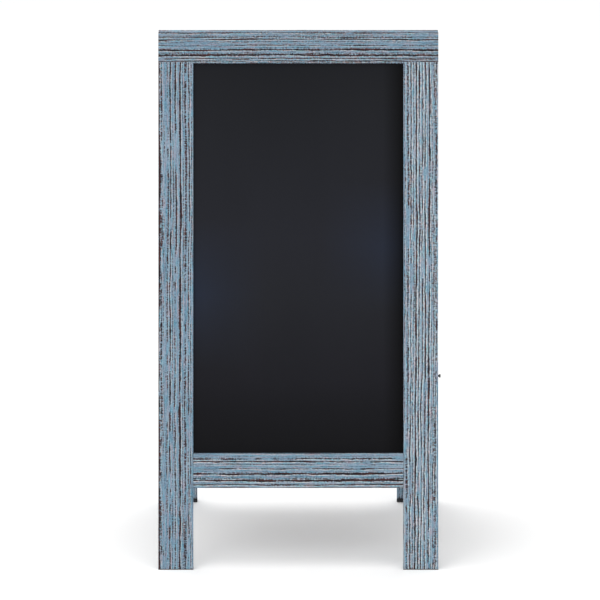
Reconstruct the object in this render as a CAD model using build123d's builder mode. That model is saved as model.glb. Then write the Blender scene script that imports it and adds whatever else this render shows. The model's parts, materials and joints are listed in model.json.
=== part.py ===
from build123d import *

import os
from math import asin, cos, degrees, radians, sin

# Folding A-frame chalkboard sign: two framed boards hinged along their top rails.
# Millimetres. +Z up, the painted front faces -Y, the origin is on the floor midway between
# the four feet. Each framed board is drawn on its own plane: x to the right of someone who
# faces the painted side, y up the board from the hinge axis, z outwards.

# ---- driving dimensions: boards and frame
sign_width = 508.0
board_thickness = 14.0
stile_width = 63.5
top_rail_width = 56.5
rail_housing = 2.5  # the top rail is cut back this much where the stile tops bear on it
bottom_rail_width = 63.5
bottom_rail_top = 763.0  # from the top edge down to the bottom rail
frame_length = 974.7  # outer face, top edge to floor
arris_radius = 1.0
lean = radians(13.1)  # each frame from the vertical, fully open

# ---- writing panel: thin steel sheet bonded to a hardboard backer, held in grooves
panel_recess = 3.5
sheet_thickness = 0.5
backer_thickness = 2.5
groove_depth = 8.0
groove_gap = 1.0  # room at the bottom of the groove for the wood to move

# ---- hinges on the inner faces of the top rails
pin_to_face = 2.0  # hinge axis to the inner face of each board
rail_above_pin = 4.0
hinge_offset = 150.0
hinge_length = 60.0
hinge_leaf_depth = 30.0
hinge_corner_radius = 1.3
leaf_thickness = 1.0
knuckle_radius = 1.8
knuckle_count = 5
knuckle_gap = 0.3
notch_clearance = 0.3
pin_radius = 1.0
pin_running_fit = 0.05
pin_head_radius = 1.7
pin_head_height = 1.0
pin_head_round = 0.5
hinge_screw_pitch = 20.0
hinge_screw_rows = (-14.0, -22.0)  # outer pair and middle screw
hinge_screw_length = 11.0

# ---- fasteners
screw_core_radius = 1.6
screw_head_radius = 3.4
screw_tip_length = 2.5
screw_tip_radius = 0.4
recess_span = 3.6  # cross recess in a screw head
recess_slot = 0.9
recess_depth = 0.9
dowel_radius = 3.0
dowel_reach = 30.0  # into each board at the top joints
side_dowel_reach = 25.0  # into each board at the bottom joints
dowel_inset = 14.0  # either side of the stile's middle
side_dowel_inset = 13.0  # either side of a line below the bottom rail's middle
side_dowel_drop = 3.0

# ---- rubber feet
sole_thickness = 1.5
upstand_height = 6.0
upstand_thickness = 1.7

# ---- folding stays, one pair each side, pulled straight when the sign is open
stay_drop = 586.5  # top edge down to the stay pivots
stay_pivot_depth = 3.2  # pivots in from the inner face of the board
stay_width = 8.0
stay_thickness = 2.0
front_stay_clear = 1.8  # stile edge to the front half
stay_plane_gap = 0.3
stay_hole_radius = 2.05
stay_shoulder_radius = 2.0
stay_head_radius = 3.7
stay_head_height = 2.2
stay_head_round = 1.1
stay_screw_bite = 16.0
spacer_radius = 3.8
face_clearance = 0.1
rivet_radius = 1.8
rivet_head_radius = 3.3
rivet_head_height = 1.2
rivet_head_round = 0.9

# ---- carrying latch on the right-hand edge: catch stud in front, swing hook behind
latch_drop = 623.0
latch_neck_radius = 2.0
latch_neck_length = 1.9
latch_head_radius = 3.6
latch_head_height = 2.5
latch_head_round = 1.6
latch_bite = 20.0
washer_radius = 4.4
washer_thickness = 0.35
hook_thickness = 1.2
hook_hole_radius = 2.05
hook_half_width = 4.0
hook_crown = 5.0
hook_notch_radius = 2.3
hook_nose = 3.4
hook_corner_radius = 1.1
eye_radius = 4.6

# ---- derived
half_width = sign_width / 2
inner_half = half_width - stile_width
face_inner = pin_to_face
face_outer = pin_to_face + board_thickness
face_mid = pin_to_face + board_thickness / 2
pin_height = (frame_length - rail_above_pin) * cos(lean) - face_outer * sin(lean)
panel_front = face_outer - panel_recess
sheet_back = panel_front - sheet_thickness
panel_back = sheet_back - backer_thickness
panel_half = inner_half + groove_depth - groove_gap
joint_y = rail_above_pin - top_rail_width + rail_housing
opening_top = rail_above_pin - top_rail_width
rail_top = rail_above_pin - bottom_rail_top
rail_bottom = rail_top - bottom_rail_width
side_dowel_y = (rail_top + rail_bottom) / 2 - side_dowel_drop
stay_y = rail_above_pin - stay_drop
stay_z = face_inner + stay_pivot_depth
latch_y = rail_above_pin - latch_drop
stay_reach = -stay_y * sin(lean) + stay_z * cos(lean)  # pivot to the middle, in row y
stay_height = pin_height + stay_y * cos(lean) + stay_z * sin(lean)
rear_stay_clear = front_stay_clear + stay_thickness + stay_plane_gap
stay_clear = {"front": front_stay_clear, "rear": rear_stay_clear}
latch_span = 2 * face_mid  # stud to hook pivot with the sign folded
fold_angle = 2 * degrees(lean)
stay_swing = 90 + degrees(lean) - degrees(asin(stay_z / stay_reach))
hook_swing = 90 - degrees(lean)

planes = {
    "front": Plane(origin=(0, 0, pin_height), x_dir=(1, 0, 0), z_dir=(0, -cos(lean), sin(lean))),
    "rear": Plane(origin=(0, 0, pin_height), x_dir=(-1, 0, 0), z_dir=(0, cos(lean), sin(lean))),
}
facing = {"front": 1, "rear": -1}  # the plane's x against the row's x
side_names = {-1: "left", 1: "right"}


def save(builder, name):
    """Label a finished piece and write its STEP file."""
    builder.part.label = name
    export_step(builder.part, f"parts/{name}.step")


def along(plane, axis, at):
    """A plane at the point (x, y, z) of a frame's plane, whose normal is that plane's axis."""
    normals = {"x": plane.x_dir, "y": plane.y_dir, "z": plane.z_dir}
    across = {"x": plane.y_dir, "y": plane.z_dir, "z": plane.x_dir}
    return Plane(origin=plane.from_local_coords(at), x_dir=across[axis], z_dir=normals[axis])


def drill(plane, axis, at, radius, depth):
    """Cut a round hole from the point at, depth along axis, out of the current part."""
    with BuildSketch(along(plane, axis, at)) as section:
        Circle(radius)
    extrude(section.sketch, amount=depth, mode=Mode.SUBTRACT)


def peg(plane, axis, at, radius, depth):
    """Add a round bar from the point at, depth along axis, to the current part."""
    with BuildSketch(along(plane, axis, at)) as section:
        Circle(radius)
    extrude(section.sketch, amount=depth)


def recess(plane, axis, at, inward):
    """Cut a cross recess at the point at, inward (1 or -1) along axis, into a screw head."""
    with BuildSketch(along(plane, axis, at)) as cross:
        Rectangle(recess_span, recess_slot)
        Rectangle(recess_slot, recess_span)
    extrude(cross.sketch, amount=inward * recess_depth, mode=Mode.SUBTRACT)


def round_outer_arrises(builder, plane, run):
    """Ease the long edges of the board's outer face."""
    outer = builder.faces().sort_by(Axis(plane.origin, plane.z_dir))[-1]
    long_edges = outer.edges().filter_by(Axis(plane.origin, run))
    fillet(long_edges, radius=arris_radius)


# ---- wooden frame
def top_dowel_places():
    middle = half_width - stile_width / 2
    return [s * (middle + d) for s in (-1, 1) for d in (-dowel_inset, dowel_inset)]


def side_dowel_rows():
    return [side_dowel_y + d for d in (-side_dowel_inset, side_dowel_inset)]


def make_stile(leaf, side):
    plane = planes[leaf]
    x_side = side * facing[leaf]
    middle = x_side * (half_width - stile_width / 2)
    low = -frame_length
    with BuildPart() as stile:
        with BuildSketch(plane.offset(face_inner)):
            with Locations((middle, (joint_y + low) / 2)):
                Rectangle(stile_width, joint_y - low)
        extrude(amount=board_thickness)
        round_outer_arrises(stile, plane, plane.y_dir)
        groove_low = rail_top - groove_depth
        with BuildSketch(plane.offset(panel_back)):
            with Locations((x_side * (inner_half + groove_depth / 2), (joint_y + groove_low) / 2)):
                Rectangle(groove_depth, joint_y - groove_low)
        extrude(amount=panel_front - panel_back, mode=Mode.SUBTRACT)
        for x in top_dowel_places():
            drill(plane, "y", (x, joint_y, face_mid), dowel_radius, -dowel_reach)
        for y in side_dowel_rows():
            at = (x_side * inner_half, y, face_mid)
            drill(plane, "x", at, dowel_radius, x_side * side_dowel_reach)
        at = (x_side * inner_half, stay_y, stay_z)
        drill(plane, "x", at, screw_core_radius, x_side * stay_screw_bite)
        if side == 1:
            at = (x_side * half_width, latch_y, face_mid)
            drill(plane, "x", at, screw_core_radius, -x_side * latch_bite)
        split(bisect_by=Plane.XY.offset(sole_thickness), keep=Keep.TOP)
    save(stile, f"{leaf}_{side_names[side]}_stile")


def hinge_screw_places():
    outer_row, middle_row = hinge_screw_rows
    steps = ((-hinge_screw_pitch, outer_row), (0, middle_row), (hinge_screw_pitch, outer_row))
    return [(s * hinge_offset + dx, y) for s in (-1, 1) for dx, y in steps]


def make_top_rail(leaf):
    plane = planes[leaf]
    with BuildPart() as rail:
        with BuildSketch(plane.offset(face_inner)):
            with Locations((0, (rail_above_pin + joint_y) / 2)):
                Rectangle(sign_width, rail_above_pin - joint_y)
            with Locations((0, (rail_above_pin + opening_top) / 2)):
                Rectangle(2 * inner_half, rail_above_pin - opening_top)
        extrude(amount=board_thickness)
        round_outer_arrises(rail, plane, plane.x_dir)
        with BuildSketch(plane.offset(panel_back)):
            with Locations((0, opening_top + groove_depth / 2)):
                Rectangle(2 * (inner_half + groove_depth), groove_depth)
        extrude(amount=panel_front - panel_back, mode=Mode.SUBTRACT)
        for x in top_dowel_places():
            drill(plane, "y", (x, joint_y, face_mid), dowel_radius, dowel_reach)
        for x, y in hinge_screw_places():
            drill(plane, "z", (x, y, face_inner), screw_core_radius, hinge_screw_length)
    save(rail, f"{leaf}_top_rail")


def make_bottom_rail(leaf):
    plane = planes[leaf]
    with BuildPart() as rail:
        with BuildSketch(plane.offset(face_inner)):
            with Locations((0, (rail_top + rail_bottom) / 2)):
                Rectangle(2 * inner_half, bottom_rail_width)
        extrude(amount=board_thickness)
        round_outer_arrises(rail, plane, plane.x_dir)
        with BuildSketch(plane.offset(panel_back)):
            with Locations((0, rail_top - groove_depth / 2)):
                Rectangle(2 * inner_half, groove_depth)
        extrude(amount=panel_front - panel_back, mode=Mode.SUBTRACT)
        for s in (-1, 1):
            for y in side_dowel_rows():
                at = (s * inner_half, y, face_mid)
                drill(plane, "x", at, dowel_radius, -s * side_dowel_reach)
    save(rail, f"{leaf}_bottom_rail")


def make_dowels(leaf):
    plane = planes[leaf]
    with BuildPart() as dowels:
        for x in top_dowel_places():
            peg(plane, "y", (x, joint_y - dowel_reach, face_mid), dowel_radius, 2 * dowel_reach)
        for s in (-1, 1):
            for y in side_dowel_rows():
                start = s * inner_half - side_dowel_reach
                peg(plane, "x", (start, y, face_mid), dowel_radius, 2 * side_dowel_reach)
    save(dowels, f"{leaf}_frame_dowels")


# ---- writing panel
def make_panel_layer(leaf, name, back, thickness):
    plane = planes[leaf]
    high = opening_top + groove_depth - groove_gap
    low = rail_top - groove_depth + groove_gap
    with BuildPart() as layer:
        with BuildSketch(plane.offset(back)):
            with Locations((0, (high + low) / 2)):
                Rectangle(2 * panel_half, high - low)
        extrude(amount=thickness)
    save(layer, f"{leaf}_{name}")


# ---- rubber feet
def make_foot(leaf, side):
    """A sole under the leg with an upstand on the leg's inner face."""
    toward = -1 if leaf == "front" else 1
    slope = sin(lean) / cos(lean)

    def y_at(depth, height):
        """Row y of a line parallel to the board, depth out from the hinge axis."""
        return toward * ((pin_height - height) * slope + depth / cos(lean))

    back = face_inner - upstand_thickness
    top = sole_thickness + upstand_height
    outline = [
        (y_at(back, 0), 0),
        (y_at(face_outer, 0), 0),
        (y_at(face_outer, sole_thickness), sole_thickness),
        (y_at(face_inner, sole_thickness), sole_thickness),
        (y_at(face_inner, top), top),
        (y_at(back, top), top),
    ]
    left_edge = half_width * side if side < 0 else inner_half
    with BuildPart() as foot:
        with BuildSketch(Plane.YZ.offset(left_edge)):
            with BuildLine():
                Polyline(*outline, close=True)
            make_face()
        extrude(amount=stile_width)
    save(foot, f"{leaf}_{side_names[side]}_foot")


# ---- hinges
def knuckle_spans(leaf):
    """The (start, end) of this leaf's knuckles along the hinge, front at both ends."""
    pitch = hinge_length / knuckle_count
    first = 0 if leaf == "front" else 1
    for i in range(first, knuckle_count, 2):
        start = i * pitch + (knuckle_gap / 2 if i else 0)
        end = (i + 1) * pitch - (knuckle_gap / 2 if i < knuckle_count - 1 else 0)
        yield start - hinge_length / 2, end - hinge_length / 2


def make_hinge_leaf(leaf, side):
    plane = planes[leaf]
    x_side = side * facing[leaf]
    centre = x_side * hinge_offset
    notch = -(knuckle_radius + notch_clearance)
    bore = pin_radius + (pin_running_fit if leaf == "rear" else 0)
    with BuildPart() as hinge:
        with BuildSketch(plane.offset(face_inner - leaf_thickness)):
            with Locations((centre, (notch - hinge_leaf_depth) / 2)):
                RectangleRounded(hinge_length, hinge_leaf_depth + notch, hinge_corner_radius)
            for start, end in knuckle_spans(leaf):
                with Locations((centre + (start + end) / 2, notch / 2 - leaf_thickness)):
                    Rectangle(end - start, -notch + 2 * leaf_thickness)
        extrude(amount=leaf_thickness)
        for start, end in knuckle_spans(leaf):
            peg(plane, "x", (centre + start, 0, 0), knuckle_radius, end - start)
        drill(plane, "x", (centre - hinge_length / 2, 0, 0), bore, hinge_length)
        for x, y in hinge_screw_places():
            if x * x_side > 0:
                with BuildSketch(along(plane, "z", (x, y, face_inner - leaf_thickness))):
                    Circle(screw_head_radius)
                with BuildSketch(along(plane, "z", (x, y, face_inner))):
                    Circle(screw_core_radius)
                loft(mode=Mode.SUBTRACT)
    save(hinge, f"{leaf}_{side_names[side]}_hinge_leaf")


def make_hinge_pin(side):
    plane = planes["front"]
    start = side * hinge_offset - hinge_length / 2
    with BuildPart() as pin:
        peg(plane, "x", (start, 0, 0), pin_radius, hinge_length)
        peg(plane, "x", (start, 0, 0), pin_head_radius, -pin_head_height)
        peg(plane, "x", (start + hinge_length, 0, 0), pin_head_radius, pin_head_height)
        tips = pin.faces().sort_by(Axis.X)
        fillet(ShapeList([tips[0], tips[-1]]).edges(), radius=pin_head_round)
    save(pin, f"{side_names[side]}_hinge_pin")


def make_hinge_screws(leaf):
    plane = planes[leaf]
    with BuildPart() as screws:
        for x, y in hinge_screw_places():
            with BuildSketch(along(plane, "z", (x, y, face_inner - leaf_thickness))):
                Circle(screw_head_radius)
            with BuildSketch(along(plane, "z", (x, y, face_inner))):
                Circle(screw_core_radius)
            loft()
            straight = hinge_screw_length - screw_tip_length
            peg(plane, "z", (x, y, face_inner), screw_core_radius, straight)
            with BuildSketch(along(plane, "z", (x, y, face_inner + straight))):
                Circle(screw_core_radius)
            with BuildSketch(along(plane, "z", (x, y, face_inner + hinge_screw_length))):
                Circle(screw_tip_radius)
            loft()
            recess(plane, "z", (x, y, face_inner - leaf_thickness), 1)
    save(screws, f"{leaf}_hinge_screws")


# ---- folding stays
def stay_faces(leaf, side):
    """Row x of the stay's face beside the stile and of its face towards the middle."""
    near = side * (inner_half - stay_clear[leaf])
    return near, near - side * stay_thickness


def make_stay(leaf, side):
    toward = -1 if leaf == "front" else 1
    near, far = stay_faces(leaf, side)
    with BuildPart() as stay:
        with BuildSketch(Plane.YZ.offset(min(near, far))):
            with Locations((toward * stay_reach / 2, stay_height)):
                SlotCenterToCenter(stay_reach, stay_width)
            with Locations((toward * stay_reach, stay_height)):
                Circle(stay_hole_radius, mode=Mode.SUBTRACT)
            with Locations((0, stay_height)):
                Circle(rivet_radius, mode=Mode.SUBTRACT)
        extrude(amount=stay_thickness)
    save(stay, f"{leaf}_{side_names[side]}_stay")


def make_stay_rivet(leaf, side):
    """One half of the middle rivet: the front half's head is outside, the rear's inside."""
    near, far = stay_faces(leaf, side)
    head = near if leaf == "front" else far
    outward = side if leaf == "front" else -side
    with BuildPart() as rivet:
        with BuildSketch(Plane.YZ.offset(min(near, far))):
            with Locations((0, stay_height)):
                Circle(rivet_radius)
        extrude(amount=stay_thickness)
        with BuildSketch(Plane.YZ.offset(head)):
            with Locations((0, stay_height)):
                Circle(rivet_head_radius)
        extrude(amount=outward * rivet_head_height)
        crown = rivet.faces().sort_by(Axis.X)[-1 if outward > 0 else 0]
        fillet(crown.edges(), radius=rivet_head_round)
    save(rivet, f"{leaf}_{side_names[side]}_stay_rivet")


def make_stay_screw(leaf, side):
    plane = planes[leaf]
    x_side = side * facing[leaf]
    under_head = stay_clear[leaf] + stay_thickness + face_clearance
    with BuildPart() as screw:
        at = (x_side * inner_half, stay_y, stay_z)
        peg(plane, "x", at, screw_core_radius, x_side * stay_screw_bite)
        peg(plane, "x", at, stay_shoulder_radius, -x_side * under_head)
        at = (x_side * (inner_half - under_head), stay_y, stay_z)
        peg(plane, "x", at, stay_head_radius, -x_side * stay_head_height)
        crown = screw.faces().sort_by(Axis.X)[0 if side > 0 else -1]
        fillet(crown.edges(), radius=stay_head_round)
        recess(plane, "x", (x_side * (inner_half - under_head - stay_head_height), stay_y, stay_z), x_side)
    save(screw, f"{leaf}_{side_names[side]}_stay_screw")


def make_stay_spacer(leaf, side):
    plane = planes[leaf]
    x_side = side * facing[leaf]
    length = stay_clear[leaf] - face_clearance
    at = (x_side * inner_half, stay_y, stay_z)
    with BuildPart() as spacer:
        peg(plane, "x", at, spacer_radius, -x_side * length)
        drill(plane, "x", at, stay_shoulder_radius, -x_side * length)
    save(spacer, f"{leaf}_{side_names[side]}_stay_spacer")


# ---- carrying latch, all on the right-hand edge
def make_latch_screw(leaf, name, under_head):
    """A dome-headed screw in the right stile's outer edge."""
    plane = planes[leaf]
    out = facing[leaf]
    with BuildPart() as screw:
        at = (out * half_width, latch_y, face_mid)
        peg(plane, "x", at, screw_core_radius, -out * latch_bite)
        peg(plane, "x", at, latch_neck_radius, out * under_head)
        at = (out * (half_width + under_head), latch_y, face_mid)
        peg(plane, "x", at, latch_head_radius, out * latch_head_height)
        crown = screw.faces().sort_by(Axis.X)[-1]
        fillet(crown.edges(), radius=latch_head_round)
        top = out * (half_width + under_head + latch_head_height)
        recess(plane, "x", (top, latch_y, face_mid), -out)
    save(screw, name)


def make_latch_washer():
    plane = planes["rear"]
    at = (-half_width, latch_y, face_mid)
    with BuildPart() as washer:
        peg(plane, "x", at, washer_radius, -washer_thickness)
        drill(plane, "x", at, latch_neck_radius, -washer_thickness)
    save(washer, "latch_washer")


def make_latch_hook():
    """Flat hook hanging from its screw; swung up, its notch drops over the catch stud."""
    pivot = planes["rear"].from_local_coords((-half_width, latch_y, face_mid))
    x_low = half_width + washer_thickness + face_clearance
    hanging = Plane(origin=(x_low, pivot.Y, pivot.Z), x_dir=(0, 0, -1), z_dir=(1, 0, 0))
    length = latch_span + hook_notch_radius + hook_nose
    height = hook_half_width + hook_crown
    with BuildPart() as hook:
        with BuildSketch(hanging):
            with Locations((length / 2, (hook_half_width - hook_crown) / 2)):
                Rectangle(length, height)
            Circle(eye_radius)
            Circle(hook_hole_radius, mode=Mode.SUBTRACT)
            with Locations((latch_span, 0)):
                Circle(hook_notch_radius, mode=Mode.SUBTRACT)
            with Locations((latch_span, hook_half_width)):
                Rectangle(2 * hook_notch_radius, 2 * hook_half_width, mode=Mode.SUBTRACT)
        extrude(amount=hook_thickness)
        tips = hook.edges().filter_by(Axis.X).group_by(Axis.Z)[0]
        fillet(tips, radius=hook_corner_radius)
    save(hook, "latch_hook")


os.makedirs("parts", exist_ok=True)
for leaf in ("front", "rear"):
    make_top_rail(leaf)
    make_bottom_rail(leaf)
    make_dowels(leaf)
    make_panel_layer(leaf, "writing_sheet", sheet_back, sheet_thickness)
    make_panel_layer(leaf, "backer_board", panel_back, backer_thickness)
    make_hinge_screws(leaf)
    for side in side_names:
        make_stile(leaf, side)
        make_foot(leaf, side)
        make_hinge_leaf(leaf, side)
        make_stay(leaf, side)
        make_stay_rivet(leaf, side)
        make_stay_screw(leaf, side)
        make_stay_spacer(leaf, side)
for side in side_names:
    make_hinge_pin(side)
make_latch_screw("front", "latch_catch_stud", latch_neck_length)
hook_stack = washer_thickness + hook_thickness + 2 * face_clearance
make_latch_screw("rear", "latch_pivot_screw", hook_stack)
make_latch_washer()
make_latch_hook()

print(f"hinge axis height {pin_height:.3f}, fold {fold_angle:.3f} deg")
print(f"stay pivots y {stay_reach:.4f} z {stay_height:.4f}, swing {stay_swing:.4f} deg")
print(f"hook swing {hook_swing:.3f} deg")
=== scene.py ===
import json
import math
from collections import namedtuple
from itertools import count

import bpy
import numpy as np
from mathutils import Matrix, Vector


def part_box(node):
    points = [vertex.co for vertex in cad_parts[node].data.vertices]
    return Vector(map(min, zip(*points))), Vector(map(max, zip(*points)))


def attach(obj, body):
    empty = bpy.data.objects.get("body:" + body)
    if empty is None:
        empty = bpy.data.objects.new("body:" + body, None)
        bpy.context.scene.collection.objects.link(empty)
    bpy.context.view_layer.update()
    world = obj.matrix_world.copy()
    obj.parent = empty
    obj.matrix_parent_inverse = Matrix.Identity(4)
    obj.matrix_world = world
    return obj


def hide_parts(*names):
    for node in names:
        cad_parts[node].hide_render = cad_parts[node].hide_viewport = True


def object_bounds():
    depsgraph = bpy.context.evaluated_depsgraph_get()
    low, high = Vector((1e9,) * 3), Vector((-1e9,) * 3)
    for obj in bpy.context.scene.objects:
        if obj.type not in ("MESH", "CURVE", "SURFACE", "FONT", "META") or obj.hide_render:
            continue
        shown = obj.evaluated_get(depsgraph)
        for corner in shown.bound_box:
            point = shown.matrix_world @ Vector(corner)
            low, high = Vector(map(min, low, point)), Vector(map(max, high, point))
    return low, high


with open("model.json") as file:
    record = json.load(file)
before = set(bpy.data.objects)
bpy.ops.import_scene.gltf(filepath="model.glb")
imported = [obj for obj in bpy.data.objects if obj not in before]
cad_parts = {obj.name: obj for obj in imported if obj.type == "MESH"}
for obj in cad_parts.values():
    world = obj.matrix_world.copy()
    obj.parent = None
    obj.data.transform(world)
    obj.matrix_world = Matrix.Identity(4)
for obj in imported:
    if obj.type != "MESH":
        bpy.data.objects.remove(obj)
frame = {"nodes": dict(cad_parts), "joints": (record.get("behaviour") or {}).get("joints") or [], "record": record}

# Folding A-frame chalkboard sign. Metres, in the CAD frame. The boards are rebuilt as dense
# brushed-grain meshes; lengths inside the board and grain functions are in millimetres.

cad_low, cad_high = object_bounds()
MM = 0.001

# ---- the two framed boards, from the fold joint
fold = next(j for j in frame["joints"] if j["name"] == "fold")
pin = Vector(fold["pos_m"])
lean = math.radians(fold["range_deg"][1]) / 2


class Leaf:
    """One framed board: x to the right of someone facing its painted side, y up, z out."""

    def __init__(self, name, facing):
        self.name = name
        self.x = Vector((facing, 0, 0))
        self.z = Vector((0, -facing * math.cos(lean), math.sin(lean)))
        self.y = self.z.cross(self.x)
        self.axes = np.array([self.x, self.y, self.z])

    def local(self, node):
        """Lowest and highest corner of a CAD node on this board's axes, in millimetres."""
        mesh = frame["nodes"][node].data
        co = np.empty(3 * len(mesh.vertices))
        mesh.vertices.foreach_get("co", co)
        p = (co.reshape(-1, 3) - np.array(pin)) @ self.axes.T / MM
        return p.min(0), p.max(0)

    def world(self, p):
        return np.array(pin) + (np.asarray(p) * MM) @ self.axes


FACING = {"front": 1, "rear": -1}
leaves = {name: Leaf(name, facing) for name, facing in FACING.items()}


# ---- repeatable smooth noise on a lattice
def smooth(t):
    return t * t * (3 - 2 * t)


def noise(rng, x, y, step_x, step_y):
    """Smooth noise from -1 to 1, with cells step_x by step_y."""
    gx, gy = (x - x.min()) / step_x, (y - y.min()) / step_y
    grid = rng.uniform(-1, 1, (int(gx.max()) + 2, int(gy.max()) + 2))
    ix, iy = gx.astype(int), gy.astype(int)
    tx, ty = smooth(gx - ix), smooth(gy - iy)
    low = grid[ix, iy] * (1 - tx) + grid[ix + 1, iy] * tx
    high = grid[ix, iy + 1] * (1 - tx) + grid[ix + 1, iy + 1] * tx
    return low * (1 - ty) + high * ty


def layered(rng, x, y, layers, start=0.0):
    """Noise added up over layers of (cell across, cell along, weight)."""
    value = start
    for step_x, step_y, weight in layers:
        value = value + weight * noise(rng, x, y, step_x, step_y)
    return value


def bell(t):
    return np.exp(-t ** 2)


# ---- brushed grain: the main dark grooves of each face, from its upper or left edge
# (place across, half width, strength, how broken, how ragged); a groove whose fourth number is
# below 0 hardly breaks
RAIL_GRAIN = (
    (0.6, 0.5, 0.60, 0.50, 0.0), (5.0, 0.5, 0.40, 0.90, 0.1), (10.2, 1.0, 0.90, 0.70, 0.6),
    (15.4, 0.9, 1.25, 0.20, 0.2), (20.8, 0.6, 0.55, 0.70, 0.1), (28.3, 0.8, 0.90, 0.45, 0.2),
    (37.8, 1.3, 1.45, -0.5, 0.6), (46.4, 0.7, 0.75, 0.60, 0.7), (49.3, 1.5, 1.45, -0.45, 0.7),
    (57.0, 0.9, 0.95, 0.40, 0.2), (62.3, 0.7, 0.85, 0.30, 0.1),
)
RAIL_GRAIN_SPARE = 4  # the top rail's scale takes the list to be this much wider than a stile
TOP_RAIL_EDGES = [
    (0.3, 0.9, 1.00, 0.40, 0.2), (51.8, 0.7, 1.00, 0.50, 0.2), (55.7, 0.9, 0.40, 0.00, 0.1),
]
LEFT_GRAIN = (
    (1.4, 2.2, 0.95, -0.1, 0.3), (5.8, 1.4, 0.62, 0.45, 0.5), (9.8, 0.6, 0.50, 0.70, 0.2),
    (16.8, 0.9, 0.75, 0.80, 0.5), (22.0, 1.0, 1.10, 0.35, 0.2), (26.6, 0.6, 0.50, 0.70, 0.2),
    (31.5, 1.0, 0.95, 0.50, 0.4), (39.8, 1.3, 1.25, 0.05, 0.2), (45.0, 0.6, 0.55, 0.65, 0.2),
    (49.2, 1.6, 0.62, 0.20, 0.35), (55.6, 0.8, 0.90, 0.45, 0.4), (60.0, 0.6, 0.65, 0.50, 0.1),
)
RIGHT_GRAIN = (
    (1.6, 0.7, 0.55, 0.60, 0.2), (7.8, 1.1, 0.75, 0.65, 0.8), (13.2, 1.0, 0.90, 0.45, 0.4),
    (18.0, 0.7, 0.70, 0.55, 0.4), (22.6, 1.1, 1.20, 0.10, 0.3), (28.2, 0.9, 1.05, 0.25, 0.3),
    (33.4, 0.8, 0.95, 0.30, 0.2), (39.2, 0.9, 1.00, 0.25, 0.3), (46.4, 1.2, 1.15, 0.10, 0.4),
    (50.6, 0.6, 0.60, 0.60, 0.3), (54.2, 0.9, 0.70, 0.55, 0.5), (58.4, 1.3, 0.75, 0.45, 0.9),
)

# ranges for a face with no list of its own, in the order of a groove's numbers
PLAIN_START, PLAIN_SPACING = (1.5, 3.5), (4.0, 8.5)
PLAIN_RANGES = ((0.6, 1.4), (0.5, 1.1), (0.1, 0.7), (0, 0.5))
PLAIN_MARGIN = 1

# noise layers: (cell across, cell along, weight)
RIPPLE = ((1, 22, 0.45), (1, 8, 0.3))
WIDTH_CHANGE = ((1, 40, 0.35), (1, 9, 0.3))
LIFE = ((1, 75, 0.6), (1, 15, 0.5))  # low where a groove breaks
RAGGED = ((0.9, 5.0, 1.0), (0.8, 2.6, 0.7))
FIBRES = ((1.1, 60, 1.0), (0.8, 22, 0.7))
FIBRE_RANGE = 1.3

DRIFT_CELL = 230  # shared by all grooves of a face
SWAY_CELL, SWAY = 70, 0.6
MEAN_LIFE = 0.5
BREAK_WEIGHT, BREAK_LEVEL, BREAK_SLOPE = 0.75, 0.42, 2.2
LEAST_KEPT = 0.05
TORN_LEVEL, MOST_TORN = 0.25, 1.35
# painted highlights along each groove, standing in for light caught at its edges: (side of the groove, groove
# widths away, gap more, half width, height)
PAINTED_HIGHLIGHTS = ((1, 1.5, 0.5, 0.8, 1.0), (-1, 1.4, 0.5, 0.7, 0.4))
HIGHLIGHT_EXTRA = 0.15  # a painted highlight lasts a little longer than its groove
SCUFF_WIDTHS, SCUFF_MARGIN = 2.2, 1
SCUFF_FRINGE, SCUFF_FRINGE_HALF, SCUFF_FRINGE_STRENGTH = 1.0, 1.3, 1.2


def plain_grain(rng, width):
    """Grooves for a face that has no list of its own."""
    places, at = [], rng.uniform(*PLAIN_START)
    while at < width - PLAIN_MARGIN:
        places.append((at, *(rng.uniform(*limits) for limits in PLAIN_RANGES)))
        at += rng.uniform(*PLAIN_SPACING)
    return places


def grain_field(rng, places, across, along, wander):
    """Three fields of the brushed grain: how bare it is, from 0 on sound paint to 1 or more in
    a dark groove; the painted highlight along each groove, standing in for light caught at its edge; and the
    scuffed band around it."""
    deep, ridge, scuffed = (np.zeros_like(across) for _ in range(3))
    line = np.zeros_like(across)
    drift = wander * noise(rng, line, along, 1, DRIFT_CELL)
    ragged_field = layered(rng, across, along, RAGGED)
    for centre, half, strength, broken, ragged in places:
        off = drift + SWAY * wander * noise(rng, line, along, 1, SWAY_CELL)
        off += layered(rng, line, along, RIPPLE)
        width = half * layered(rng, line, along, WIDTH_CHANGE, 1)
        life = layered(rng, line, along, LIFE, MEAN_LIFE)
        kept = np.clip((life - broken * BREAK_WEIGHT + BREAK_LEVEL) * BREAK_SLOPE, LEAST_KEPT, 1)
        place = across - centre - off
        torn = np.clip(1 + ragged ** 2 * (ragged_field - TORN_LEVEL), 0, MOST_TORN)
        deep = np.maximum(deep, strength * kept * bell(place / width) * torn)
        # painted highlight along the groove, standing in for light caught at its edges
        beside = sum(
            height * bell((place - side * widths * width - side * gap) / reach)
            for side, widths, gap, reach, height in PAINTED_HIGHLIGHTS)
        ridge = np.maximum(ridge, min(strength, 1) * np.clip(kept + HIGHLIGHT_EXTRA, 0, 1) * beside)
        band = bell(place / (SCUFF_WIDTHS * half + SCUFF_MARGIN))
        fringe = bell((place + half + SCUFF_FRINGE) / SCUFF_FRINGE_HALF)
        scuffed = np.maximum(scuffed, ragged * kept * band)
        scuffed = np.maximum(scuffed, SCUFF_FRINGE_STRENGTH * ragged * kept * fringe)
    return deep, ridge, scuffed


def hairline_field(rng, across, along):
    """Fine proud and sunken fibres between the grooves, from -1 to 1."""
    return np.clip(layered(rng, across, along, FIBRES) / FIBRE_RANGE, -1, 1)


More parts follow.
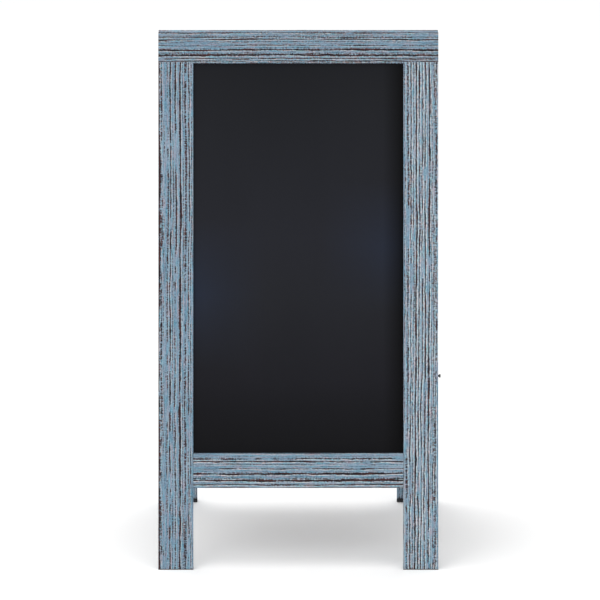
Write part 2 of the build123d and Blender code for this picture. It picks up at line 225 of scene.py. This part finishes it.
# ---- one brushed board
GROOVE_DEPTH = 0.55
FIBRE_DEPTH = 0.10
CORNER = 1.3
CORNER_TURNS = (22.5, 45.0, 67.5)  # in degrees
CORNER_WEAR_REACH = 1.8
CORNER_WEAR_DEPTH = 0.25
CORNER_SPARED = 0.55  # share of the grain's depth that a worn corner loses
ACROSS_STEP = 0.8
EDGE_STEP = 1.0
ALONG_STEP = 4.0
RING_GAP = 0.05  # half the distance between the two rings at a sudden change of section
RING_CLEARANCE = 1.0
EDGE_WANDER = 0.5
SLOT_OVERRUN = 1.0  # how far a slot runs past the panel
SEED_SHIFT = 17.0  # takes each board to its own part of the material's noise
SHARP_ANGLE = 55  # in degrees

# the last field scales each board's painted highlight along its grooves
Look = namedtuple("Look", "wander tone ridges")
LEFT_LOOK = Look(wander=1.3, tone=0.09, ridges=0.9)
RIGHT_LOOK = Look(wander=1.7, tone=0.08, ridges=1.6)
TOP_LOOK = Look(wander=1.0, tone=0.17, ridges=0.9)
BOTTOM_LOOK = Look(wander=1.0, tone=0.14, ridges=1.2)


class Section:
    """The ring of points round a board: place across (a) and through (w), and outward normal."""

    def __init__(self, width, thickness, slot):
        self.rows = []
        self.width, self.thickness = width, thickness
        front = self.face_points(CORNER, width - CORNER, ACROSS_STEP)
        edge = self.face_points(CORNER, thickness - CORNER, EDGE_STEP)
        for a in front:
            self.add("front", a, thickness, 0, 1)
        self.corner("front", width - CORNER, thickness - CORNER, 90)
        for w in edge[::-1]:
            self.add("far", width, w, 1, 0)
        self.corner("back", width - CORNER, CORNER, 0)
        for a in front[::-1]:
            self.add("back", a, 0, 0, -1)
        self.corner("back", CORNER, CORNER, 270)
        for w in edge:
            self.add("near", 0, w, -1, 0)
        self.corner("front", CORNER, thickness - CORNER, 180)
        faces, *columns = zip(*self.rows)
        self.face = np.array(faces)
        self.a, self.w, self.na, self.nw = (np.array(column) for column in columns)
        self.cut(*slot)
        step = np.hypot(np.diff(self.a, append=self.a[0]), np.diff(self.w, append=self.w[0]))
        self.around = np.concatenate(([0], np.cumsum(step)[:-1]))
        corners = [(a, w) for a in (0, width) for w in (0, thickness)]
        gaps = [np.hypot(self.a - a, self.w - w) for a, w in corners]
        self.wear = bell(np.minimum.reduce(gaps) / CORNER_WEAR_REACH)

    @staticmethod
    def face_points(start, end, step):
        return np.linspace(start, end, max(2, round((end - start) / step) + 1))

    def add(self, face, a, w, na, nw):
        self.rows.append((face, a, w, na, nw))

    def corner(self, face, a, w, start):
        """Points round a corner's centre, clockwise from start in degrees."""
        for turn in CORNER_TURNS:
            t = math.radians(start - turn)
            ca, sa = math.cos(t), math.sin(t)
            self.add(face, a + CORNER * ca, w + CORNER * sa, ca, sa)

    def cut(self, edge, low, high, depth):
        """Where the board is slotted, the edge's points between low and high drop by depth."""
        chosen = self.face == edge
        w = self.w[chosen]
        inner = np.where((w > low) & (w < high))[0]
        up = 1 if w[inner.max()] > w[inner.min()] else -1
        lower, upper = (inner.min(), inner.max())[::up]
        w[lower] = w[lower - up] = low
        w[upper] = w[upper + up] = high
        self.in_slot = np.zeros(len(self.a), bool)
        self.in_slot[np.where(chosen)[0][inner]] = True
        self.slotted_w = self.w.copy()
        self.slotted_w[chosen] = w
        toward = -1 if edge == "far" else 1
        self.slotted_a = self.a + np.where(self.in_slot, toward * depth, 0)


def stations(length, breaks):
    """Places along the board, with a close pair at each sudden change of section."""
    places = np.linspace(0, length, round(length / ALONG_STEP) + 1)
    for b in breaks:
        places = places[np.abs(places - b) > RING_CLEARANCE]
    pairs = [b + d for b in breaks for d in (-RING_GAP, RING_GAP)]
    return np.sort(np.concatenate((places, pairs)))


def brushed_fields(rng, section, a, w, along, lines, wander):
    """Grain fields over the whole board, face by face: deep, painted highlight, scuffed and fibre."""
    fields = [np.zeros_like(a) for _ in range(4)]
    for face in ("front", "far", "back", "near"):
        cols = section.face == face
        wide = face in ("front", "back")
        place = (a if wide else w)[:, cols]
        span = section.width if wide else section.thickness
        grooves = lines if face == "front" else plain_grain(rng, span)
        sway = wander if wide else EDGE_WANDER
        found = grain_field(rng, grooves, place, along[:, cols], sway)
        found += (hairline_field(rng, place, along[:, cols]),)
        for field, values in zip(fields, found):
            field[:, cols] = values
    return fields


def placed(node, leaf, upright, a, w, along, length):
    """World places of a board's surface. A stile's foot end is cut level with the floor."""
    low, high = leaf.local(node)
    z = low[2] + w
    if upright:
        x = low[0] + a
        floor_y = (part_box(node)[0].z - pin.z) / MM / math.cos(lean) - z * math.tan(lean)
        y = high[1] - (high[1] - floor_y) * (along / length)
    else:
        x, y = low[0] + along, high[1] - a
    return leaf.world(np.stack([x, y, z], -1).reshape(-1, 3))


def closed_tube(name, co, rows, points, upright):
    """A mesh of rings, its sides in the first material, with caps in the second."""
    i, j = np.meshgrid(np.arange(rows - 1), np.arange(points), indexing="ij")
    k = (j + 1) % points
    corners = [i * points + j, i * points + k, (i + 1) * points + k, (i + 1) * points + j]
    quads = np.stack(corners, -1).reshape(-1, 4)
    first, last = list(range(points)), list(range((rows - 1) * points, rows * points))
    if upright:
        quads = quads[:, ::-1]
        last.reverse()
    else:
        first.reverse()
    mesh = bpy.data.meshes.new(name)
    mesh.from_pydata(co.tolist(), [], quads.tolist() + [last, first])
    mesh.polygons.foreach_set("use_smooth", [True] * len(quads) + [False] * 2)
    mesh.polygons.foreach_set("material_index", [0] * len(quads) + [1] * 2)
    return mesh


def keep(mesh, name, values, kind="FLOAT"):
    """Stores values on the mesh's points for the material to read."""
    attribute = mesh.attributes.new(name, kind, "POINT")
    field = "vector" if kind == "FLOAT_VECTOR" else "value"
    attribute.data.foreach_set(field, np.ascontiguousarray(values, float).ravel())


def brushed_board(node, leaf, upright, lines, look, seed, slot, slot_span, housing=None):
    """Rebuilds a board node with its brushed grain. slot is (edge, low, high, depth) on the
    section; slot_span is where along the board it runs; housing is (length, depth) by which
    the far edge is cut back at both ends."""
    rng = np.random.default_rng(seed)
    low, high = leaf.local(node)
    span_x, span_y, thickness = high - low
    length, width = (span_y, span_x) if upright else (span_x, span_y)
    section = Section(width, thickness, slot)
    breaks = list(slot_span)
    if housing:
        breaks += [housing[0], length - housing[0]]
    breaks = [b for b in breaks if RING_CLEARANCE < b < length - RING_CLEARANCE]
    places = stations(length, breaks)
    rows, points = len(places), len(section.a)
    along = np.repeat(places[:, None], points, 1)
    a, w = np.tile(section.a, (rows, 1)), np.tile(section.w, (rows, 1))
    slotted = (places > slot_span[0]) & (places < slot_span[1])
    a[slotted], w[slotted] = section.slotted_a, section.slotted_w

    deep, ridge, scuffed, fibre = brushed_fields(rng, section, a, w, along, lines, look.wander)
    proud = 0.5 + 0.5 * fibre
    drop = GROOVE_DEPTH * np.clip(deep, 0, 1) + FIBRE_DEPTH * proud
    drop = drop * (1 - CORNER_SPARED * section.wear) + CORNER_WEAR_DEPTH * section.wear * proud
    drop[:, section.in_slot] = 0
    a -= section.na * drop
    w -= section.nw * drop
    if housing:
        cut_back = (places < housing[0]) | (places > length - housing[0])
        a[cut_back] = np.minimum(a[cut_back], width - housing[1])

    co = placed(node, leaf, upright, a, w, along, length)
    mesh = closed_tube(node + "_brushed", co, rows, points, upright)
    keep(mesh, "groove", deep)
    # painted highlight along the grooves, standing in for light caught at their edges
    keep(mesh, "ridge", ridge * look.ridges)
    keep(mesh, "scuffed", scuffed)
    keep(mesh, "worn", np.tile(section.wear, (rows, 1)))
    keep(mesh, "tone", np.full_like(a, look.tone))
    around = np.tile(section.around, (rows, 1))
    apart = np.full_like(along, SEED_SHIFT * seed)
    keep(mesh, "grain", np.stack([around, along, apart], -1), "FLOAT_VECTOR")
    keep(mesh, "section", np.stack([a, w, along], -1), "FLOAT_VECTOR")
    mesh.set_sharp_from_angle(angle=math.radians(SHARP_ANGLE))
    mesh.update()
    piece = bpy.data.objects.new(node + "_brushed", mesh)
    bpy.context.scene.collection.objects.link(piece)
    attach(piece, leaf.name + "_frame")
    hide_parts(node)
    for material in (paint, ends):
        mesh.materials.append(material)


# ---- materials
MIX_FACTOR, MIX_A, MIX_B, MIX_RESULT = 0, 6, 7, 2
WHITE = (1, 1, 1, 1)


def lin(r, g, b):
    """An sRGB colour, 0 to 255, as linear RGBA."""
    c = [v / 255 for v in (r, g, b)]
    return tuple(v / 12.92 if v < 0.04045 else ((v + 0.055) / 1.055) ** 2.4 for v in c) + (1.0,)


class Nodes:
    """A material's node tree, with short ways to add nodes and links."""

    def __init__(self, name):
        self.mat = bpy.data.materials.new(name)
        self.mat.use_nodes = True
        self.tree = self.mat.node_tree
        self.shader = self.tree.nodes["Principled BSDF"]

    def add(self, kind, **settings):
        node = self.tree.nodes.new("ShaderNode" + kind)
        for key, value in settings.items():
            setattr(node, key, value)
        return node

    def link(self, a, b):
        self.tree.links.new(a, b)

    def put(self, socket, value):
        if isinstance(value, bpy.types.NodeSocket):
            self.link(value, socket)
        else:
            socket.default_value = value

    def attribute(self, name):
        return self.add("Attribute", attribute_name=name)

    def place(self):
        """The point on the object, in metres."""
        return self.add("TexCoord").outputs["Object"]

    def math(self, operation, a, b=0.5):
        node = self.add("Math", operation=operation)
        self.put(node.inputs[0], a)
        self.put(node.inputs[1], b)
        return node.outputs[0]

    def times(self, a, b):
        return self.math("MULTIPLY", a, b)

    def plus(self, a, b):
        return self.math("ADD", a, b)

    def total(self, *terms):
        """The sum of (value, weight) terms."""
        value = None
        for source, weight in terms:
            scaled = self.times(source, weight)
            value = scaled if value is None else self.plus(value, scaled)
        return value

    def spread(self, value, low, high, to_low=0.0, to_high=1.0):
        node = self.add("MapRange", clamp=True)
        for socket, v in zip(node.inputs, (value, low, high, to_low, to_high)):
            self.put(socket, v)
        return node.outputs[0]

    def stretched(self, vector, scale):
        node = self.add("Mapping")
        self.put(node.inputs["Vector"], vector)
        node.inputs["Scale"].default_value = scale
        return node.outputs[0]

    def noise(self, vector, scale, detail=3.0, roughness=0.55):
        node = self.add("TexNoise")
        self.put(node.inputs["Vector"], vector)
        node.inputs["Scale"].default_value = scale
        node.inputs["Detail"].default_value = detail
        node.inputs["Roughness"].default_value = roughness
        return node.outputs["Fac"]

    def ramp(self, value, stops):
        node = self.add("ValToRGB")
        self.put(node.inputs[0], value)
        elements = node.color_ramp.elements
        while len(elements) < len(stops):
            elements.new(0.5)
        for element, (at, colour) in zip(elements, stops):
            element.position, element.color = at, colour
        return node.outputs[0]

    def mix(self, factor, a, b, blend="MIX"):
        node = self.add("Mix", data_type="RGBA", blend_type=blend)
        self.put(node.inputs[MIX_FACTOR], factor)
        self.put(node.inputs[MIX_A], a)
        self.put(node.inputs[MIX_B], b)
        return node.outputs[MIX_RESULT]

    def bump(self, height, strength, distance):
        node = self.add("Bump")
        node.inputs["Strength"].default_value = strength
        node.inputs["Distance"].default_value = distance
        self.put(node.inputs["Height"], height)
        self.link(node.outputs[0], self.shader.inputs["Normal"])

    def finish(self, colour, roughness, **constants):
        self.put(self.shader.inputs["Base Color"], colour)
        self.put(self.shader.inputs["Roughness"], roughness)
        for name, value in constants.items():
            self.shader.inputs[name.replace("_", " ")].default_value = value
        return self.mat


def paint_material():
    """Blue-grey wash over dark brushed pine."""
    n = Nodes("blue_wash")
    grain = n.attribute("grain").outputs["Vector"]
    groove, ridge, scuffed, worn, tone = (
        n.attribute(name).outputs["Fac"] for name in ("groove", "ridge", "scuffed", "worn", "tone"))

    def grained(across, along, detail=3.0, rough=0.6):
        """Noise from about -1 to 1 with features 1/across by 1/along millimetres."""
        value = n.noise(n.stretched(grain, (across, along, 1)), 1.0, detail, rough)
        return n.times(n.math("SUBTRACT", value, 0.5), 4.0)

    streak, hair = grained(0.36, 0.010), grained(0.70, 0.022, 2.0)
    speck, grit, cloud = grained(0.55, 0.20, 2.0), grained(0.50, 0.45, 2.0), grained(0.06, 0.010, 2.0)
    fleck, tuft = grained(0.62, 0.28, 1.0), grained(0.16, 0.36, 1.0)

    # how bare the wood is: the grooves, fine wear everywhere, and torn paint at the grooves' edges
    bare = n.total((groove, 0.92), (streak, 0.15), (hair, 0.19), (speck, 0.21), (grit, 0.17),
                   (cloud, 0.06), (worn, 0.10), (tone, 1.0))
    fringe = n.times(n.spread(groove, 0.04, 0.30), n.spread(groove, 0.95, 0.5))
    torn = n.total((grit, 0.25), (tuft, 0.45))
    bare = n.plus(bare, n.times(fringe, torn))
    flake = n.plus(n.total((fleck, 0.42), (tuft, 0.42)), 0.12)
    bare = n.plus(bare, n.times(scuffed, flake))
    colour = n.ramp(n.spread(bare, -0.5, 1.1), (
        (0.00, lin(190, 207, 214)), (0.14, lin(162, 184, 196)), (0.27, lin(134, 161, 179)),
        (0.38, lin(112, 141, 161)), (0.47, lin(96, 117, 134)), (0.56, lin(82, 88, 100)),
        (0.66, lin(64, 60, 65)), (0.78, lin(49, 41, 44)), (1.00, lin(32, 27, 31))))

    blue = n.mix(n.spread(streak, -0.3, 0.6, 0.0, 0.9), WHITE, lin(214, 248, 255))
    colour = n.mix(1.0, colour, blue, "MULTIPLY")
    mauve = n.spread(grained(0.5, 0.015, 2.0), -0.15, 0.4)
    mauve = n.times(mauve, n.spread(bare, 0.35, 0.0, 0.0, 0.75))
    colour = n.mix(mauve, colour, lin(141, 143, 158))
    # painted highlight along each groove, standing in for light caught at its edge
    highlight_amount = n.times(ridge, n.spread(n.total((hair, 0.6), (speck, 0.9)), -0.45, 0.4))
    highlight_amount = n.times(highlight_amount, n.spread(groove, 0.6, 0.25))
    colour = n.mix(highlight_amount, colour, lin(198, 209, 212))
    hue = n.spread(grained(0.34, 0.045, 2.0), -0.9, 0.9)
    tint = n.mix(hue, (1.36, 0.97, 0.95, 1), (0.71, 1.06, 1.08, 1))
    colour = n.mix(1.0, colour, tint, "MULTIPLY")
    redness = n.spread(grained(0.3, 0.03, 2.0), -0.2, 0.7)
    redness = n.times(redness, n.spread(bare, 0.35, 0.6, 0.0, 0.7))
    colour = n.mix(redness, colour, lin(90, 52, 48))
    n.bump(n.total((hair, -0.3), (speck, -0.3)), 0.3, 0.0004)
    return n.finish(colour, n.spread(bare, 0.0, 1.0, 0.65, 0.92), Specular_IOR_Level=0.15)


def end_grain_material():
    """Saw-cut board ends: the wash soaked in over the growth rings."""
    n = Nodes("blue_wash_end_grain")
    section = n.attribute("section").outputs["Vector"]
    warp = n.noise(section, 0.12, 2.0)
    from_pith = n.add("VectorMath", operation="ADD")
    from_pith.inputs[1].default_value = (-20.0, 34.0, 0.0)
    n.link(section, from_pith.inputs[0])
    radius = n.add("VectorMath", operation="LENGTH")
    n.link(n.stretched(from_pith.outputs[0], (1, 1, 0)), radius.inputs[0])
    ring = n.total((radius.outputs["Value"], 1.9), (warp, 6.0))
    ring = n.plus(n.times(n.math("SINE", ring), 0.5), 0.5)
    late_wood = n.times(n.math("POWER", ring, 3.0), 0.34)
    pore = n.noise(n.stretched(section, (1.5, 1.5, 0.2)), 1.0, 3.0)
    bare = n.plus(late_wood, n.spread(pore, 0.3, 0.7, 0.05, 0.6))
    colour = n.ramp(bare, (
        (0.0, lin(128, 148, 164)), (0.35, lin(104, 122, 138)),
        (0.6, lin(78, 80, 86)), (1.0, lin(46, 38, 38))))
    n.bump(bare, 0.4, 0.0004)
    return n.finish(colour, n.spread(bare, 0.0, 1.0, 0.7, 0.92), Specular_IOR_Level=0.2)


def chalk_material(low, high, left, right):
    """Matte charcoal writing paint, mottled by wiped chalk, with painted shade towards the bottom,
    under the top rail and along the opening's edges, and a painted bluish highlight beside each stile.
    low and high are opposite corners of the front sheet; left and right are the edges of its opening."""
    n = Nodes("chalkboard_paint")
    place = n.place()
    axes = n.add("SeparateXYZ")
    n.link(place, axes.inputs[0])
    across = axes.outputs["X"]
    height = n.spread(axes.outputs["Z"], low.z, high.z)
    wipe = n.noise(n.stretched(place, (5.0, 1.0, 1.6)), 1.0, 3.0)
    dust = n.noise(place, 260.0, 2.0, 0.7)
    cloud = n.noise(place, 3.0, 2.0)
    # colour by height: brightest in the middle, with painted shade darkening towards the bottom and a painted
    # shadow under the top rail
    colour = n.ramp(height, (
        (0.00, lin(13, 13, 16)), (0.02, lin(15, 15, 18)), (0.045, lin(17, 17, 20)),
        (0.12, lin(21, 21, 25)), (0.19, lin(26, 26, 31)), (0.40, lin(32, 33, 38)),
        (0.55, lin(33, 34, 40)), (0.90, lin(28, 29, 33)), (0.98, lin(26, 27, 31)),
        (1.00, lin(20, 20, 24))))
    # a painted bluish highlight beside each stile: (edge, where it fades out, its height, half its height)
    painted_glows = ((left, left + 0.13, 0.41, 0.19), (right, right - 0.15, 0.53, 0.17))
    patchy = n.spread(cloud, 0.3, 0.6, 0.6, 1.0)
    for edge, inner, centre, reach in painted_glows:
        near = n.spread(across, inner, edge)
        level = n.spread(n.math("ABSOLUTE", n.math("SUBTRACT", height, centre)), reach, 0.0)
        colour = n.mix(n.times(n.times(near, level), patchy), colour, lin(35, 41, 55))
    # painted shade along the opening's edges, deep at the right stile and slight at the left, standing in for the
    # recess's shadow
    painted_edge_shade = n.spread(across, right - 0.037, right, 1.0, 0.12)
    painted_edge_shade = n.times(painted_edge_shade, n.spread(across, left + 0.006, left, 1.0, 0.75))
    mottled = n.plus(n.spread(wipe, 0.3, 0.7, 0.92, 1.08), n.spread(dust, 0.3, 0.7, -0.05, 0.05))
    # the painted edge shade times the chalk wipe mottling
    shade = n.times(painted_edge_shade, mottled)
    grey = n.add("CombineColor")
    for channel in grey.inputs:
        n.link(shade, channel)
    colour = n.mix(1.0, colour, grey.outputs[0], "MULTIPLY")
    n.bump(dust, 0.15, 0.0002)
    return n.finish(colour, n.spread(dust, 0.3, 0.7, 0.6, 0.75), Specular_IOR_Level=0.08)


def hardboard_material():
    """Smooth brown pressed-fibre board."""
    n = Nodes("hardboard")
    place = n.place()
    fleck = n.noise(place, 420.0, 3.0, 0.7)
    cloud = n.noise(place, 9.0, 3.0)
    amount = n.plus(n.spread(fleck, 0.3, 0.7, 0.0, 0.6), n.spread(cloud, 0.3, 0.7, 0.0, 0.4))
    colour = n.ramp(amount, ((0.0, lin(74, 50, 34)), (0.5, lin(104, 74, 50)), (1.0, lin(132, 99, 70))))
    n.bump(fleck, 0.2, 0.0003)
    return n.finish(colour, n.spread(cloud, 0.3, 0.7, 0.45, 0.65), Specular_IOR_Level=0.35)


def steel_material(name, dark, light, metallic, rough_low, rough_high):
    """Plated or painted steel with fine scuffs."""
    n = Nodes(name)
    place = n.place()
    scuff = n.noise(n.stretched(place, (1.0, 1.0, 0.25)), 900.0, 3.0, 0.65)
    stain = n.noise(place, 60.0, 3.0)
    amount = n.plus(n.spread(scuff, 0.3, 0.7, 0.0, 0.5), n.spread(stain, 0.3, 0.7, 0.0, 0.5))
    colour = n.ramp(amount, ((0.0, dark), (1.0, light)))
    n.bump(scuff, 0.1, 0.0002)
    rough = n.spread(stain, 0.3, 0.7, rough_low, rough_high)
    return n.finish(colour, rough, Metallic=metallic)


def rubber_material():
    """Matte black moulded rubber, greyed by dust."""
    n = Nodes("rubber")
    dust = n.noise(n.place(), 300.0, 3.0, 0.7)
    colour = n.ramp(n.spread(dust, 0.35, 0.75), ((0.0, lin(34, 34, 36)), (1.0, lin(62, 62, 64))))
    n.bump(dust, 0.25, 0.0002)
    return n.finish(colour, n.spread(dust, 0.3, 0.7, 0.75, 0.9), Specular_IOR_Level=0.3)


def dowel_material():
    """Bare beech."""
    n = Nodes("dowel_beech")
    fleck = n.noise(n.stretched(n.place(), (1.0, 1.0, 0.08)), 800.0, 3.0)
    colour = n.ramp(n.spread(fleck, 0.3, 0.7), ((0.0, lin(176, 140, 100)), (1.0, lin(214, 184, 146))))
    return n.finish(colour, 0.7)


def floor_material():
    n = Nodes("studio_floor")
    return n.finish((0.985, 0.985, 0.985, 1.0), 0.95, Specular_IOR_Level=0.0)


# ---- the eight boards
paint, ends = paint_material(), end_grain_material()
SIDES = {"left": -1, "right": 1}
FIRST_SEED = 12


def panel_corners(leaf):
    """Lowest corner of a leaf's backer and highest corner of its writing sheet."""
    backer, sheet = f"{leaf.name}_backer_board", f"{leaf.name}_writing_sheet"
    return leaf.local(backer)[0], leaf.local(sheet)[1]


def stile_board(leaf, side, seed):
    node = f"{leaf.name}_{side}_stile"
    low, high = leaf.local(node)
    panel_low, panel_high = panel_corners(leaf)
    on_left = SIDES[side] * FACING[leaf.name] < 0
    reach = high[0] - panel_low[0] if on_left else panel_high[0] - low[0]
    edge = "far" if on_left else "near"
    slot = (edge, panel_low[2] - low[2], panel_high[2] - low[2], reach + SLOT_OVERRUN)
    span = (-SLOT_OVERRUN, high[1] - panel_low[1] + SLOT_OVERRUN)
    lines, look = (LEFT_GRAIN, LEFT_LOOK) if on_left else (RIGHT_GRAIN, RIGHT_LOOK)
    brushed_board(node, leaf, True, lines, look, seed, slot, span)


def top_rail_board(leaf, seed):
    """The top rail is cut back over the stile tops, and slotted only between them."""
    node = f"{leaf.name}_top_rail"
    low, high = leaf.local(node)
    panel_low, panel_high = panel_corners(leaf)
    stile_low, stile_high = leaf.local(f"{leaf.name}_left_stile")
    stile_width = stile_high[0] - stile_low[0]
    depth = panel_high[1] - low[1] + SLOT_OVERRUN
    slot = ("far", panel_low[2] - low[2], panel_high[2] - low[2], depth)
    start = panel_low[0] - low[0] - SLOT_OVERRUN
    span = (start, high[0] - low[0] - start)
    housing = (stile_width, stile_high[1] - low[1])
    squeeze = (high[1] - low[1]) / (stile_width + RAIL_GRAIN_SPARE)
    lines = [(at * squeeze, half * squeeze, *rest) for at, half, *rest in RAIL_GRAIN]
    lines += TOP_RAIL_EDGES
    brushed_board(node, leaf, False, lines, TOP_LOOK, seed, slot, span, housing)


def bottom_rail_board(leaf, seed):
    node = f"{leaf.name}_bottom_rail"
    low, high = leaf.local(node)
    panel_low, panel_high = panel_corners(leaf)
    depth = high[1] - panel_low[1] + SLOT_OVERRUN
    slot = ("near", panel_low[2] - low[2], panel_high[2] - low[2], depth)
    span = (-SLOT_OVERRUN, high[0] - low[0] + SLOT_OVERRUN)
    brushed_board(node, leaf, False, RAIL_GRAIN, BOTTOM_LOOK, seed, slot, span)


seeds = count(FIRST_SEED)
for board in leaves.values():
    for board_side in SIDES:
        stile_board(board, board_side, next(seeds))
    top_rail_board(board, next(seeds))
    bottom_rail_board(board, next(seeds))


# ---- everything else keeps its CAD shape
def dress(node, material):
    """Gives a CAD node its finish."""
    piece = frame["nodes"][node]
    if not piece.material_slots:
        piece.data.materials.append(material)
    for s in piece.material_slots:
        s.link = "OBJECT"
        s.material = material


opening = (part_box("front_left_stile")[1].x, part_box("front_right_stile")[0].x)
black_steel = steel_material("black_steel", lin(16, 16, 17), lin(34, 34, 36), 0.0, 0.35, 0.5)
zinc_steel = steel_material("zinc_steel", lin(150, 150, 148), lin(196, 195, 190), 1.0, 0.25, 0.45)
finishes = {
    "chalk_surface": chalk_material(*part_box("front_writing_sheet"), *opening),
    "hardboard": hardboard_material(),
    "dowel_wood": dowel_material(),
    "rubber": rubber_material(),
    "black_steel": black_steel,
    "zinc_steel": zinc_steel,
}
for part in frame["record"]["subparts"]:
    if part["material_slot"] in finishes:
        dress(part["node"], finishes[part["material_slot"]])

# ---- floor, light and camera
FLOOR_SPREAD = 30  # half the floor's width, in diagonals of the object
CAMERA_DISTANCE = 8400.0  # in millimetres, from the front panel's face
CAMERA_BELOW_TOP = 485.4
CAMERA_ASIDE = -44.1
CAMERA_SHIFT = 0.0433
SENSOR_WIDTH = 36.0
PICTURE_WIDTH = 600
PICTURE_SCALE = 0.5513  # pixels of the picture to a millimetre of the front face


def studio_floor():
    """A wide, pale, level floor."""
    half = FLOOR_SPREAD * (cad_high - cad_low).length
    corners = [(-half, -half, 0), (half, -half, 0), (half, half, 0), (-half, half, 0)]
    mesh = bpy.data.meshes.new("studio_floor")
    mesh.from_pydata(corners, [], [(0, 1, 2, 3)])
    floor = bpy.data.objects.new("studio_floor", mesh)
    bpy.context.scene.collection.objects.link(floor)
    mesh.materials.append(floor_material())


def area_light(name, place, target, width, power):
    data = bpy.data.lights.new(name, "AREA")
    data.shape, data.size, data.energy = "DISK", width, power
    light = bpy.data.objects.new(name, data)
    bpy.context.scene.collection.objects.link(light)
    light.location = place
    light.rotation_mode = "QUATERNION"
    light.rotation_quaternion = (Vector(target) - Vector(place)).to_track_quat("-Z", "Y")


def studio_light():
    """An even white surround, a wide light overhead and a soft key light at the front left."""
    world = bpy.data.worlds.new("studio")
    world.use_nodes = True
    background = world.node_tree.nodes["Background"]
    background.inputs["Color"].default_value = WHITE
    background.inputs["Strength"].default_value = 1.0
    bpy.context.scene.world = world
    middle = (0, 0, cad_high.z / 2)
    area_light("overhead", place=(-0.6, 0.3, 3.6), target=(0, 0, 0), width=3.0, power=40)
    area_light("key", place=(-1.8, -2.6, 3.0), target=middle, width=1.6, power=9)
    bpy.context.scene.view_settings.view_transform = "Standard"


def camera():
    """Square on to the front panel, a little left of the middle, through a long lens."""
    front = leaves["front"]
    rail_high = front.local("front_top_rail")[1]
    top, face = rail_high[1], rail_high[2]
    target = Vector(front.world((CAMERA_ASIDE, top - CAMERA_BELOW_TOP, face)))
    data = bpy.data.cameras.new("camera")
    data.sensor_width = SENSOR_WIDTH
    data.lens = PICTURE_SCALE * CAMERA_DISTANCE * SENSOR_WIDTH / PICTURE_WIDTH
    data.shift_x = CAMERA_SHIFT
    data.clip_start, data.clip_end = 0.1, 100
    cam = bpy.data.objects.new("camera", data)
    bpy.context.scene.collection.objects.link(cam)
    turn = Matrix((front.x, front.y, front.z)).transposed().to_4x4()
    cam.matrix_world = Matrix.Translation(target + front.z * CAMERA_DISTANCE * MM) @ turn
    bpy.context.scene.camera = cam


studio_floor()
studio_light()
camera()
